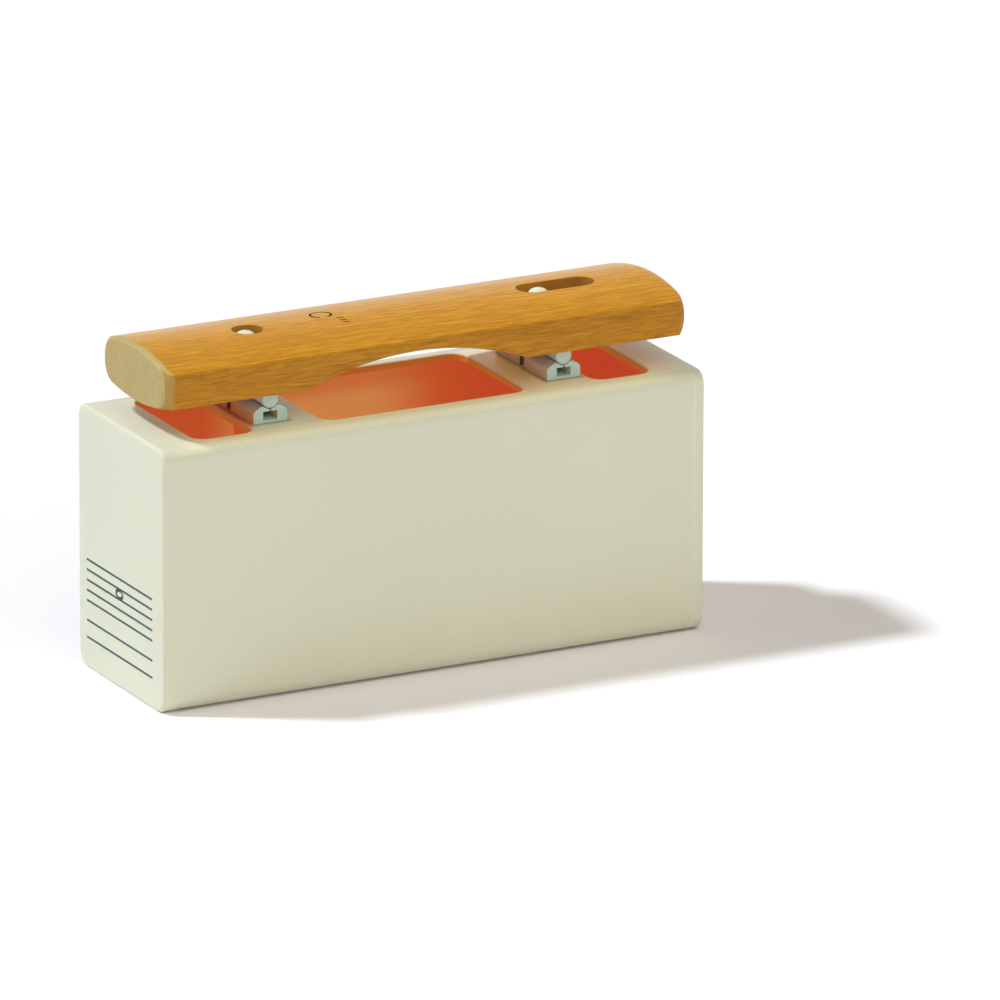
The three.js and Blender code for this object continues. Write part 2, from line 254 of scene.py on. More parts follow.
class Wire:
    """An output socket in an expression; arithmetic on it adds Math nodes to its tree."""

    def __init__(self, tree, socket=None):
        self.tree = tree
        self.socket = socket

    def node(self, kind, settings=None, sockets=None, outlet=0):
        """Add a node with its settings, then its socket values and links; wrap one outlet."""
        node = self.tree.nodes.new(kind)
        for name, value in (settings or {}).items():
            setattr(node, name, value)
        for name, value in (sockets or {}).items():
            if isinstance(value, Wire):
                self.tree.links.new(value.socket, node.inputs[name])
            else:
                node.inputs[name].default_value = value
        return Wire(self.tree, node.outputs[outlet] if node.outputs else None)

    def maths(self, operation, first, second=0.0):
        """Add a Math node on two values."""
        return self.node("ShaderNodeMath", {"operation": operation}, {0: first, 1: second})

    def __add__(self, other):
        return self.maths("ADD", self, other)

    def __radd__(self, other):
        return self.maths("ADD", other, self)

    def __sub__(self, other):
        return self.maths("SUBTRACT", self, other)

    def __rsub__(self, other):
        return self.maths("SUBTRACT", other, self)

    def __mul__(self, other):
        return self.maths("MULTIPLY", self, other)

    def __rmul__(self, other):
        return self.maths("MULTIPLY", other, self)

    def __pow__(self, other):
        return self.maths("POWER", self, other)

    def __abs__(self):
        return self.maths("ABSOLUTE", self)


def higher(first, second):
    """The higher of two values, at least one of them a wire."""
    wire = first if isinstance(first, Wire) else second
    return wire.maths("MAXIMUM", first, second)


def lower(first, second):
    """The lower of two values, at least one of them a wire."""
    wire = first if isinstance(first, Wire) else second
    return wire.maths("MINIMUM", first, second)


def fade(value, low, high):
    """Smoothly from 0 at low to 1 at high."""
    settings = {"interpolation_type": "SMOOTHSTEP"}
    return value.node("ShaderNodeMapRange", settings, {0: value, 1: low, 2: high})


def blend(factor, low, high):
    """A colour between two colours."""
    ends = {0: factor, 6: opaque(low), 7: opaque(high)}
    return factor.node("ShaderNodeMix", {"data_type": "RGBA"}, ends, outlet=2)


def opaque(tone):
    """A plain colour with full alpha; a wire stays as it is."""
    return tone if isinstance(tone, Wire) else (*tone[:3], 1.0)


def shade(tone, factor):
    """A plain colour made darker or lighter."""
    return tuple(channel * factor for channel in tone[:3])


def mottled(factor, tone, low, high):
    """A plain colour that varies between two strengths of itself."""
    return blend(factor, shade(tone, low), shade(tone, high))


def axes(vector):
    """The three parts of a vector."""
    parts = vector.node("ShaderNodeSeparateXYZ", sockets={0: vector}).socket.node.outputs
    return [Wire(vector.tree, part) for part in parts]


def noise(place, scale, detail=2.0, roughness=0.5):
    """Noise over a place, with one scale per metre or one along each axis."""
    scales = scale if isinstance(scale, tuple) else (scale, scale, scale)
    stretched = place.node("ShaderNodeMapping", sockets={"Vector": place, "Scale": scales})
    sockets = {"Vector": stretched, "Scale": 1.0, "Detail": detail, "Roughness": roughness}
    return place.node("ShaderNodeTexNoise", sockets=sockets)


def bumped(height, depth):
    """A normal from a height between 0 and 1, for relief of the given depth."""
    sockets = {"Height": height, "Strength": 1.0, "Distance": depth}
    return height.node("ShaderNodeBump", sockets=sockets)


def glancing(place):
    """From 0 where a surface is seen face on to 1 where it is seen edge on, for its gloss."""
    return place.node("ShaderNodeLayerWeight", sockets={"Blend": 0.5}, outlet="Facing")


def emptied(owner):
    """A start for new nodes in the emptied tree of a material or a world."""
    owner.use_nodes = True
    owner.node_tree.nodes.clear()
    return Wire(owner.node_tree)


def finish(name, paint, settings):
    """A material whose Principled shader takes the sockets that paint works out."""
    material = bpy.data.materials.new(name)
    start = emptied(material)
    place = start.node("ShaderNodeTexCoord", outlet="Object")
    facing = start.node("ShaderNodeTexCoord", outlet="Normal")
    shader = start.node("ShaderNodeBsdfPrincipled", sockets=paint(place, facing, settings))
    start.node("ShaderNodeOutputMaterial", sockets={"Surface": shader})
    return material


def paint_shell(place, facing, shell):
    """Cream outside, with a painted orange inside and painted glow for the light that comes
    through the thin walls.
    """
    x, y, z = axes(place)
    facing_z = axes(facing)[2]
    top = BOX_HIGH.z

    # Depth under the outer faces, whose long edges are rounded
    across = abs(y) - (BOX_HIGH.y - shell.edge_round)
    upward = abs(z - top / 2) - (top / 2 - shell.edge_round)
    corner = (higher(across, 0.0) ** 2.0 + higher(upward, 0.0) ** 2.0) ** 0.5
    side = corner + lower(higher(across, upward), 0.0) - shell.edge_round
    depth = 0.0 - higher(side, abs(x) - CAP_HIGH.x)
    at_window = fade(abs(y), WINDOW_SIDE + 2 * MM, WINDOW_SIDE + MM)
    at_window = at_window * fade(abs(x), OUTER_WINDOW_END + 4.5 * MM, OUTER_WINDOW_END + 2.5 * MM)
    cut_face = at_window * fade(depth, shell.skin * 0.4, shell.skin * 1.6)
    # Faces that take the painted orange and glow: the inner faces and the windows' cut faces
    inside = higher(fade(depth, WALL - 1.1 * MM, WALL - 0.4 * MM), cut_face)

    # Faint clouds and specks, and a painted highlight along the seam of the cap
    cloud = noise(place, 14, detail=3.0)
    speck = noise(place, 800)
    tone = fade(cloud * 0.5 + speck * 0.5, 0.25, 0.75)
    cream = mottled(tone, shell.outside, 0.955, 1.025)
    orange = mottled(cloud, shell.inside, 0.9, 1.1)
    seam = abs(x - BOX_HIGH.x)
    cream = blend(fade(seam, 0.5 * MM, 0.25 * MM), cream, shell.seam)

    # Painted contact shade round the feet of the blocks and along the low edge
    beside_block = higher(abs(abs(x) - SUPPORT_X) - BLOCK_REACH.x, 0.0)
    before_block = higher(abs(abs(y) - BLOCK_MIDDLE.y) - BLOCK_REACH.y, 0.0)
    foot = fade((beside_block ** 2.0 + before_block ** 2.0) ** 0.5, 2.6 * MM, 0.0)
    foot = foot * fade(z, top - 0.5 * MM, top - 0.1 * MM)
    low_edge = fade(z, 1.5 * MM, 0.6 * MM) * fade(facing_z, -0.98, -0.9)
    low_edge = low_edge * fade(x, -100 * MM, -94 * MM)
    painted_contact_shade = higher(foot * 0.62, low_edge * 0.85)
    cream = blend(painted_contact_shade, cream, shade(shell.outside, 0.12))

    # Painted shade and orange bounce light on the strip between the left blocks and the window
    strip_x = (OUTER_WINDOW_START + SUPPORT_X + BLOCK_REACH.x) / 2
    strip = fade(abs(x + strip_x), 2.4 * MM, 1.3 * MM)
    strip = strip * fade(abs(y), WINDOW_SIDE - 2 * MM, WINDOW_SIDE - 8 * MM)
    strip = strip * fade(z, top - 0.5 * MM, top)
    cream = blend(strip * 0.9, cream, shell.strip)

    # Light in the inner walls, pale under the bar and deep at the capped end
    under_bar = fade(x, CENTRE_WINDOW_END, 4 * MM) * fade(x, -58 * MM, -35 * MM)
    under_bar = under_bar * (0.45 + 0.55 * fade(z, 86 * MM, 79 * MM))
    light = blend(fade(x, 30 * MM, 70 * MM), shell.glow, shell.deep_glow)
    light = blend(under_bar, light, shell.pale_glow)
    cut_edge = fade(z, top - WALL - 0.4 * MM, top - WALL + 0.1 * MM)
    light = blend(cut_edge, light, shell.cut_glow)

    # Light through the bridges and the front ledge
    bleed = blend(fade(x, -50 * MM, 40 * MM), shell.left_bleed, shell.bleed)
    on_ledge = fade(abs(y), WINDOW_SIDE - 2 * MM, WINDOW_SIDE + 2 * MM)
    bleed = blend(on_ledge, bleed, shell.ledge_bleed)
    bleed = blend(strip, bleed, shell.strip_bleed)
    through = fade(facing_z, 0.35, 0.9) * fade(abs(x), 100 * MM, 80 * MM) * (1.0 - painted_contact_shade)
    through = through * fade(y, WINDOW_SIDE + 1.5 * MM, WINDOW_SIDE)
    light = blend(inside, bleed, light)

    away = glancing(place)
    peel = noise(place, 420)
    wave = noise(place, 22, detail=1.0)
    return {
        "Base Color": blend(inside, cream, orange),
        "Roughness": shell.roughness - 0.05 + cloud * 0.1 + inside * 0.2,
        "Emission Color": blend(higher(inside, through), (0.0, 0.0, 0.0), light),
        "Emission Strength": 1.0,
        "Specular IOR Level": 0.25,
        "Coat Weight": fade(away, 0.72, 0.95) * 0.45 + 0.05,
        "Coat Roughness": 0.15,
        "Normal": bumped(peel * 0.15 + wave * 0.85, 0.12 * MM),
    }


def edge_mask(facing):
    """1 where a surface faces between the main directions, as an eased edge does."""
    x, y, z = axes(facing)
    straight = higher(higher(abs(x), abs(y)), abs(z))
    return fade(straight, 0.96, 0.8)


def paint_block(place, facing, support):
    """Pale extruded plastic, with painted warm bounce light on the sides, painted orange window
    glow on the sides by the left window and painted shade where two blocks face each other.
    """
    x, y, _ = axes(place)
    facing_x, facing_y, _ = axes(facing)
    streak = noise(place, (1400, 40, 1400))
    cloud = noise(place, 160, detail=3.0)
    tone = mottled(cloud, support.block, 0.88, 1.08)
    # Painted light on the sides: warm bounce, and orange window glow on those by the left window
    by_window = fade(x, -40 * MM, -50 * MM) * fade(facing_x, 0.0, -0.5)
    side = blend(by_window, support.painted_bounce_side, support.painted_glow_side)
    tone = blend(fade(abs(facing_x), 0.3, 0.9), tone, side)
    gap = fade(abs(y), 2.4 * MM, 1.6 * MM) * fade(abs(facing_y), 0.5, 0.9)
    tone = blend(gap * 0.75, tone, support.block_gap)
    return {
        "Base Color": blend(edge_mask(facing) * 0.55, tone, support.block_edge),
        "Roughness": 0.5 + streak * 0.2,
        "Normal": bumped(streak, 0.03 * MM),
    }


def paint_rubber(place, facing, tone):
    """Matt rubber with clouds and fine pores."""
    cloud = noise(place, 260, detail=3.0)
    pore = noise(place, 2600, detail=1.0)
    return {
        "Base Color": mottled(cloud, tone, 0.86, 1.06),
        "Roughness": 0.52 + pore * 0.2,
        "Normal": bumped(pore * 0.4 + cloud * 0.6, 0.06 * MM),
    }


def paint_steel(place, facing, support):
    """Wire with fine marks along it from drawing."""
    drawn = noise(place, (2400, 2400, 60))
    return {
        "Base Color": mottled(drawn, support.steel, 0.85, 1.2),
        "Metallic": 1.0,
        "Roughness": 0.2 + drawn * 0.2,
        "Normal": bumped(drawn, 0.01 * MM),
    }


def paint_wood(place, facing, bar):
    """Fine straight grain under satin lacquer, with bare sanded ends."""
    x, y, z = axes(place)
    facing_x, _, facing_z = axes(facing)
    upward = fade(facing_z, 0.3, 0.8)
    on_left = fade(x, 20 * MM, -20 * MM)

    # Grain: wide rings round a far pith, bands, streaks and fibres
    pith_y = 310 * MM
    pith_z = 20 * MM
    ring_width = 2.6 * MM
    ring_slant = 0.012
    drift = noise(place, (6, 60, 60))
    radius = ((y - pith_y) ** 2.0 + (z - pith_z) ** 2.0) ** 0.5
    turns = (radius + drift * (6 * MM) + x * ring_slant) * (2 * math.pi / ring_width)
    ring = x.maths("SINE", turns) * 0.5 + 0.5
    band = noise(place, (10, 150, 150), detail=3.0, roughness=0.55)
    streak = noise(place, (60, 680, 680), detail=3.0, roughness=0.65)
    fibre = noise(place, (130, 1250, 1250), roughness=0.6)
    grain = fade(ring * 0.05 + band * 0.18 + streak * 0.34 + fibre * 0.52, 0.405, 0.655)
    wood = blend(grain, shade(bar.wood, 1.02), bar.late_wood)
    fleck = fade(noise(place, (130, 1500, 1500), detail=1.0), 0.60, 0.72)
    wood = blend(fleck * (0.42 - upward * 0.2), wood, shade(bar.late_wood, 0.5))

    # Darker sides and edges, and painted shade and sheen on the top's rear half, which turns it
    # darker and yellower
    hair = fade(noise(place, (170, 1900, 1900), roughness=0.6), 0.36, 0.64)
    side = mottled(hair, bar.side_wood, 1.3, 0.7)
    wood = blend(0.42 - upward * 0.42, wood, side)
    to_edge = fade(abs(y), 2 * MM, 24 * MM)
    wood = blend(to_edge * upward * 0.10, wood, shade(bar.late_wood, 0.5))
    to_rear = fade(y, -16 * MM, 22 * MM)
    wood = blend(to_rear * upward * 0.15, wood, bar.painted_rear_shade_sheen)

    # Walls of the hole and the slot
    half_length = (BAR_HIGH.x - BAR_LOW.x) / 2
    reach = abs(x - (BAR_LOW.x + BAR_HIGH.x) / 2)
    half_hole = bar.hole_diameter / 2
    walled = fade(abs(y), half_hole + MM, half_hole + 0.5 * MM) * fade(abs(facing_z), 0.5, 0.25)
    walled = walled * fade(reach, half_length - 4 * MM, half_length - 6 * MM)
    wood = blend(walled * 0.9, wood, bar.cut_wood)

    # Bare wood at the sanded ends, further in at the rear corner of the left one
    further = higher(y * (1 / BAR_HIGH.y), 0.0) ** 2.0 * on_left
    sanded = reach + further * (bar.rear_depth * 1.5)
    sanded = sanded - facing_z * facing_z * (0.8 * MM) + band * (1.2 * MM)
    bare = fade(sanded, half_length - 2.8 * MM, half_length - 1.6 * MM)
    bare = bare * higher(on_left, fade(facing_x, 0.7, 0.9))
    speckle = noise(place, (500, 1500, 1500), roughness=0.7)
    spot = fade(speckle * 0.7 + band * 0.3, 0.3, 0.7)
    end = mottled(spot, bar.end_grain, 0.86, 1.1)
    around = fade(abs(facing_x), 0.95, 0.88)
    end = blend(around * (1.0 - upward), end, bar.end_strip)
    # A lighter line round each end face, partly worn edge and partly painted highlight
    rim = around * fade(reach, half_length - 0.5 * MM, half_length - 0.25 * MM)
    end = blend(rim * 0.6, end, shade(bar.end_grain, 1.25))

    relief = fibre * (1.0 - bare) + speckle * bare
    away = glancing(place)
    return {
        "Base Color": blend(bare, wood, end),
        "Roughness": 0.4 + fibre * 0.1 + bare * 0.35,
        "Specular IOR Level": 0.1,
        "Coat Weight": (1.0 - bare) * (fade(away, 0.62, 0.92) * 0.37 + 0.02),
        "Coat Roughness": 0.2,
        "Normal": bumped(relief, 0.05 * MM),
    }


def paint_ink(place, facing, tone):
    """Ink that covers a little unevenly."""
    cover = noise(place, 900, detail=3.0)
    return {
        "Base Color": mottled(cover, tone, 0.75, 1.35),
        "Roughness": 0.45 + cover * 0.2,
        "Specular IOR Level": 0.0,
        "Normal": bumped(cover, 0.01 * MM),
    }


def spaced(first, last, steps):
    """Even steps from a first value to a last one, with both."""
    return [first + (last - first) * step / steps for step in range(steps + 1)]


def full_turn(steps):
    """Angles of a full turn, without the last one, which is the first again."""
    return spaced(0, 2 * math.pi, steps)[:-1]


def oval(centre_u, centre_v, reach_u, reach_v, angles):
    """Points of an oval at the given angles."""
    return [
        (centre_u + reach_u * math.cos(angle), centre_v + reach_v * math.sin(angle))
        for angle in angles
    ]


def arc(centre_u, centre_v, radius, first, last, steps):
    """Points of an arc, with both its ends."""
    return oval(centre_u, centre_v, radius, radius, spaced(first, last, steps))


def loft(rings, loop=False):
    """Vertices and faces of a closed skin through rings of equal count."""
    count = len(rings[0])
    vertices = [point for ring in rings for point in ring]
    faces = []
    spans = len(rings) if loop else len(rings) - 1
    for span in range(spans):
        near = span * count
        far = (span + 1) % len(rings) * count
        for step in range(count):
            after = (step + 1) % count
            faces.append((near + step, near + after, far + after, far + step))
    if not loop:
        last = (len(rings) - 1) * count
        faces.append(tuple(reversed(range(count))))
        faces.append(tuple(range(last, last + count)))
    return vertices, faces


def skin(name, lofts):
    """An object of one or more closed lofts, with its faces turned outwards."""
    vertices = []
    faces = []
    for points, corners in lofts:
        base = len(vertices)
        vertices += points
        faces += [tuple(base + index for index in face) for face in corners]
    mesh = bpy.data.meshes.new(name)
    mesh.from_pydata(vertices, [], faces)
    shell = bmesh.new()
    shell.from_mesh(mesh)
    bmesh.ops.remove_doubles(shell, verts=shell.verts, dist=1e-7)
    bmesh.ops.recalc_face_normals(shell, faces=shell.faces)
    shell.to_mesh(mesh)
    shell.free()
    piece = bpy.data.objects.new(name, mesh)
    bpy.context.scene.collection.objects.link(piece)
    return piece


def dress(piece, body, material, sharp, replaced=()):
    """Shade a closed piece with sharp edges from an angle in degrees, and tie it to the frame."""
    form = bmesh.new()
    form.from_mesh(piece.data)
    closed = all(edge.is_manifold for edge in form.edges)
    form.free()
    if not closed:
        raise RuntimeError(f"{piece.name} is not a closed skin")
    piece.data.shade_smooth()
    piece.data.set_sharp_from_angle(angle=math.radians(sharp))
    piece.data.materials.clear()
    piece.data.materials.append(material)
    if replaced:
        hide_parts(*replaced)
    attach(piece, body)


def welding_group():
    """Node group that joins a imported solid's triangles and drops their own normals."""
    group = bpy.data.node_groups.new("joined_faces", "GeometryNodeTree")
    for direction in ("INPUT", "OUTPUT"):
        group.interface.new_socket("Geometry", in_out=direction, socket_type="NodeSocketGeometry")
    entry = Wire(group).node("NodeGroupInput")
    joined = entry.node(
        "GeometryNodeMergeByDistance", sockets={"Geometry": entry, "Distance": 1e-6}
    )
    plain = joined.node("GeometryNodeSetMeshNormal", {"mode": "SHARPNESS"}, {"Mesh": joined})
    plain.node("NodeGroupOutput", sockets={0: plain})
    return group


def ease(names, width, material):
    """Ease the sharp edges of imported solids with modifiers, and give them a finish."""
    group = bpy.data.node_groups.get("joined_faces") or welding_group()
    for name in names:
        solid = frame["nodes"][name]
        joined = solid.modifiers.new("joined faces", "NODES")
        joined.node_group = group
        flat = solid.modifiers.new("whole flats", "DECIMATE")
        flat.decimate_type = "DISSOLVE"
        flat.angle_limit = math.radians(0.5)
        edges = solid.modifiers.new("eased edges", "BEVEL")
        edges.width = width
        edges.segments = 2
        edges.limit_method = "ANGLE"
        edges.angle_limit = math.radians(35)
        shading = solid.modifiers.new("even shading", "WEIGHTED_NORMAL")
        shading.keep_sharp = False
        solid.data.materials.clear()
        solid.data.materials.append(material)


def bow_radius(rise):
    """Radius of an arc that spans the bar's width with the given rise."""
    return (BAR_HIGH.y ** 2 + rise ** 2) / (2 * rise)


def capped_arc(half, rise, inset, corner):
    """A wide arc across the bar as (y, height), cut off at half with rounded corners."""
    radius = bow_radius(rise)
    centre = rise - radius
    corner_y = half - corner
    corner_z = math.sqrt((radius - inset - corner) ** 2 - corner_y ** 2)
    spread = math.atan2(corner_z, corner_y)
    centre_z = centre + corner_z
    points = arc(corner_y, centre_z, corner, 0, spread, CORNER_STEPS)
    points += arc(0, centre, radius - inset, spread, math.pi - spread, CROWN_STEPS)[1:-1]
    points += arc(-corner_y, centre_z, corner, math.pi - spread, math.pi, CORNER_STEPS)
    return points


def bar_section(bar, sanding=0.0, side_inset=0.0):
    """The bar's outline as (y, z), crown first; sanding draws it in, from 0 to 1 at an end."""
    side_top = BAR_HIGH.z - bar.crown
    side_bottom = BAR_LOW.z + bar.belly
    half = BAR_HIGH.y - sanding * side_inset
    inset = sanding * bar.end_face_inset
    corner = bar.corner_round + sanding * (bar.end_corner_round - bar.corner_round)
    crown = capped_arc(half, bar.crown, inset, corner)
    belly = capped_arc(half, bar.belly, inset, corner)
    top = [(y, side_top + rise) for y, rise in crown]
    return top + [(-y, side_bottom - rise) for y, rise in belly]


def crown_height(bar, y):
    """Height of the bar's crowned top at a place across it."""
    radius = bow_radius(bar.crown)
    return BAR_HIGH.z - radius + math.sqrt(radius ** 2 - y ** 2)


def belly_height(bar, y):
    """Height of the bar's rounded underside at a place across it."""
    radius = bow_radius(bar.belly)
    return BAR_LOW.z + radius - math.sqrt(radius ** 2 - y ** 2)


def left_depth(bar, y):
    """Length of the sanded left end, which reaches further at the rear."""
    return bar.end_depth + bar.rear_depth * max(y / BAR_HIGH.y, 0) ** 2


def end_rings(bar):
    """Rings of the sanded left end and of the right one, each from left to right."""
    squareness = 1.75
    left = []
    right = []
    for angle in spaced(0, math.pi / 2, END_STEPS):
        along = 1 - max(math.cos(angle), 0) ** squareness
        sanding = 1 - math.sin(angle) ** squareness
        outline = bar_section(bar, sanding, bar.left_side_inset)
        left.append([(BAR_LOW.x + left_depth(bar, y) * along, y, z) for y, z in outline])
        outline = bar_section(bar, sanding, bar.right_side_inset)
        right.insert(0, [(BAR_HIGH.x - bar.end_depth * along, y, z) for y, z in outline])
    return left, right


def arch_spans(bar, section, centre_z):
    """For each point of the section, the arch's lift at a rounded edge and its half angle."""
    lower_from = len(section) // 2
    lifts = []
    spreads = []
    for y, z in section:
        reach = min(BAR_HIGH.y - abs(y), bar.corner_round) - bar.corner_round
        lift = bar.corner_round - math.sqrt(bar.corner_round ** 2 - reach ** 2)
        rise = min((z - lift - centre_z) / bar.arch_radius, 1)
        lifts.append(lift)
        spreads.append(math.acos(rise))
    spreads[:lower_from] = [spreads[lower_from]] * lower_from
    return lifts, spreads


def between(section, starts, ends, part):
    """A plain ring, each of its points part of the way between two places along the bar."""
    return [
        (start + (end - start) * part, y, z)
        for (y, z), start, end in zip(section, starts, ends)
    ]


def bar_blank(bar):
    """Rings of the bar with its tuning arch, from its left end to its right one."""
    section = bar_section(bar)
    lower_from = len(section) // 2
    centre_x = (BAR_LOW.x + BAR_HIGH.x) / 2 + bar.arch_offset
    centre_z = BAR_LOW.z + bar.arch_depth - bar.arch_radius
    lifts, spreads = arch_spans(bar, section, centre_z)
    arch_starts = [centre_x - bar.arch_radius * math.sin(spread) for spread in spreads]
    arch_ends = [centre_x + bar.arch_radius * math.sin(spread) for spread in spreads]
    left_ends = [BAR_LOW.x + left_depth(bar, y) for y, z in section]
    right_ends = [BAR_HIGH.x - bar.end_depth] * len(section)

    rings, last_rings = end_rings(bar)
    for part in spaced(0, 1, STRAIGHT_STEPS)[1:]:
        rings.append(between(section, left_ends, arch_starts, part))
    for part in spaced(-1, 1, ARCH_STEPS)[1:]:
        ring = []
        for index, (y, z) in enumerate(section):
            angle = part * spreads[index]
            x = centre_x + bar.arch_radius * math.sin(angle)
            arch_z = centre_z + bar.arch_radius * math.cos(angle) + lifts[index]
            ring.append((x, y, z if index < lower_from else arch_z))
        rings.append(ring)
    for part in spaced(0, 1, STRAIGHT_STEPS)[1:-1]:
        rings.append(between(section, arch_ends, right_ends, part))
    return rings + last_rings


def opening(bar, low_x, high_x):
    """Cutter for a hole or slot between two places, flared into a rounded rim at the crown.

    No corner of its outline lies on the bar's middle line, where the bar has corners too.
    """
    radius = bar.hole_diameter / 2
    margin = 3 * MM
    last_angle = math.radians(66)
    half_step = math.pi / (2 * CUT_STEPS)
    last_step = half_step + 2 * math.pi
    is_round = high_x - low_x - bar.hole_diameter < MM

    def ring(flare, height):
        reach = radius + flare
        if is_round:
            outline = arc(low_x + radius, 0, reach, half_step, last_step, 2 * CUT_STEPS)[:-1]
        else:
            outline = arc(high_x - radius, 0, reach, -math.pi / 2, math.pi / 2, CUT_STEPS)
            outline += arc(low_x + radius, 0, reach, math.pi / 2, 1.5 * math.pi, CUT_STEPS)
        return [(x, y, height(y)) for x, y in outline]

    rings = [ring(0, lambda y: BAR_LOW.z - margin)]
    for angle in spaced(0, last_angle, RIM_STEPS):
        drop = bar.rim_ease * (1 - math.sin(angle))
        flare = bar.rim_ease * (1 - math.cos(angle))
        rings.append(ring(flare, lambda y, drop=drop: crown_height(bar, y) - drop))
    flare += margin * math.tan(last_angle)
    rings.append(ring(flare, lambda y: crown_height(bar, y) - drop + margin))
    return skin("cutter", [loft(rings)])


def cut(piece, cutters):
    """Take the cutters out of a piece, and delete them."""
    for cutter in cutters:
        step = piece.modifiers.new("cut", "BOOLEAN")
        step.operation = "DIFFERENCE"
        step.solver = "EXACT"
        step.object = cutter
    graph = bpy.context.evaluated_depsgraph_get()
    whole = bpy.data.meshes.new_from_object(piece.evaluated_get(graph))
    piece.modifiers.clear()
    blank = piece.data
    piece.data = whole
    bpy.data.meshes.remove(blank)
    whole.name = piece.name
    for cutter in cutters:
        mesh = cutter.data
        bpy.data.objects.remove(cutter)
        bpy.data.meshes.remove(mesh)


def stroke(path, widths, placed, film, loop=False):
    """A flat printed line along a path of (u, v), as a thin closed film."""
    rings = []
    last = len(path) - 1
    for index, (u, v) in enumerate(path):
        before = path[index - 1] if index or loop else path[index]
        after = path[(index + 1) % len(path)] if index < last or loop else path[index]
        along = Vector((after[0] - before[0], after[1] - before[1])).normalized()
        out = Vector((-along.y, along.x)) * widths[index] / 2
        low = (u - out.x, v - out.y)
        high = (u + out.x, v + out.y)
        ring = [placed(*low, -film), placed(*high, -film)]
        rings.append(ring + [placed(*high, film), placed(*low, film)])
    return loft(rings, loop)


def soft_lower(value, limit, round_off):
    """The lower of two heights, with a rounded change from one to the other."""
    gap = max(round_off - abs(value - limit), 0) / round_off
    return min(value, limit) - gap ** 2 * round_off / 4


def cord_rings(soft, bar, low, high):
    """Rings along one cord: round below, flat where the bar lies, rounded at its cut ends."""
    radius = soft.cord_diameter / 2
    rounding = soft.cord_end_round
    press_round = 0.3 * MM
    centre_x = (low.x + high.x) / 2
    centre_z = low.z + radius
    angles = spaced(0, math.pi / 2, RIM_STEPS)
    edge = [(rounding * (1 - math.cos(angle)), math.sin(angle)) for angle in angles]
    stations = [(low.y + inward, fullness) for inward, fullness in edge]
    for y in spaced(low.y + rounding, high.y - rounding, CORD_STATIONS)[1:-1]:
        stations.append((y, 1.0))
    stations += [(high.y - inward, fullness) for inward, fullness in reversed(edge)]
    rings = []
    for y, fullness in stations:
        inset = rounding * (1 - fullness)
        ceiling = belly_height(bar, y) - soft.cord_touch - inset
        reach = radius - inset
        outline = oval(centre_x, centre_z, reach, reach, full_turn(CORD_STEPS))
        rings.append([(x, y, soft_lower(z, ceiling, press_round)) for x, z in outline])
    return rings


def sleeve_rings(soft, low, high):
    """Rings down the bore and up the outside of a sleeve; small ones close bore and dome."""
    radius = (high.x - low.x) / 2
    bore = soft.sleeve_bore / 2
    bore_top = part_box("guide_pin_left")[1].z
    tip = 0.05 * MM
    lip = 0.3 * MM
    nub = 0.25 * MM
    nub_foot = 0.55 * MM
    nub_head = 0.4 * MM
    top = high.z + soft.sleeve_rise
    dome_z = top - nub - soft.sleeve_dome
    profile = [(tip, bore_top), (bore, bore_top), (bore, low.z)]
    profile += [(radius - lip, low.z), (radius - lip * 0.3, low.z + lip * 0.3)]
    profile += [(radius, low.z + lip), (radius, (low.z + dome_z) / 2)]
    profile += oval(0, dome_z, radius, soft.sleeve_dome, spaced(0, math.pi / 2, DOME_STEPS)[:-1])
    profile += [(nub_foot, top - nub * 0.9), (nub_head, top - nub * 0.2), (tip, top)]
    centre_x = (low.x + high.x) / 2
    rings = []
    for reach, z in profile:
        outline = oval(centre_x, 0, reach, reach, full_turn(SLEEVE_STEPS))
        rings.append([(x, y, z) for x, y in outline])
    return rings


class RESONATOR_OT_dress_shell(bpy.types.Operator):
    """Ease the edges of the box and its cap, and finish them in cream plastic"""

    bl_idname = "resonator.dress_shell"
    bl_label = "Box and cap"

    def execute(self, context):
        shell = context.scene.resonator_bar.shell
        cream = finish("cream_moulding", paint_shell, shell)
        ease(["resonator_box", "end_cap"], shell.edge_ease, cream)
        return {"FINISHED"}


class RESONATOR_OT_dress_supports(bpy.types.Operator):
    """Ease the edges of the four support blocks and finish them"""

    bl_idname = "resonator.dress_supports"
    bl_label = "Support blocks"

    def execute(self, context):
        support = context.scene.resonator_bar.support
        blocks = [name for name in frame["nodes"] if name.startswith("support_")]
        ease(blocks, support.edge_ease, finish("pale_blocks", paint_block, support))
        return {"FINISHED"}


class RESONATOR_OT_dress_pins(bpy.types.Operator):
    """Finish the two guide pins in drawn steel"""

    bl_idname = "resonator.dress_pins"
    bl_label = "Guide pins"

    def execute(self, context):
        support = context.scene.resonator_bar.support
        pins = ["guide_pin_left", "guide_pin_right"]
        ease(pins, support.edge_ease / 2, finish("drawn_steel", paint_steel, support))
        return {"FINISHED"}


class RESONATOR_OT_make_cords(bpy.types.Operator):
    """Model the four cushion cords, pressed flat under the bar"""

    bl_idname = "resonator.make_cords"
    bl_label = "Cushion cords"

    def execute(self, context):
        settings = context.scene.resonator_bar
        rubber = finish("cushion_cord_rubber", paint_rubber, tuple(settings.soft.cord))
        for name in [name for name in frame["nodes"] if name.startswith("cushion_")]:
            low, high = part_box(name)
            rings = cord_rings(settings.soft, settings.bar, low, high)
            cord = skin(name.replace("cushion", "cushion_cord"), [loft(rings)])
            dress(cord, "resonator", rubber, sharp=40, replaced=[name])
        return {"FINISHED"}


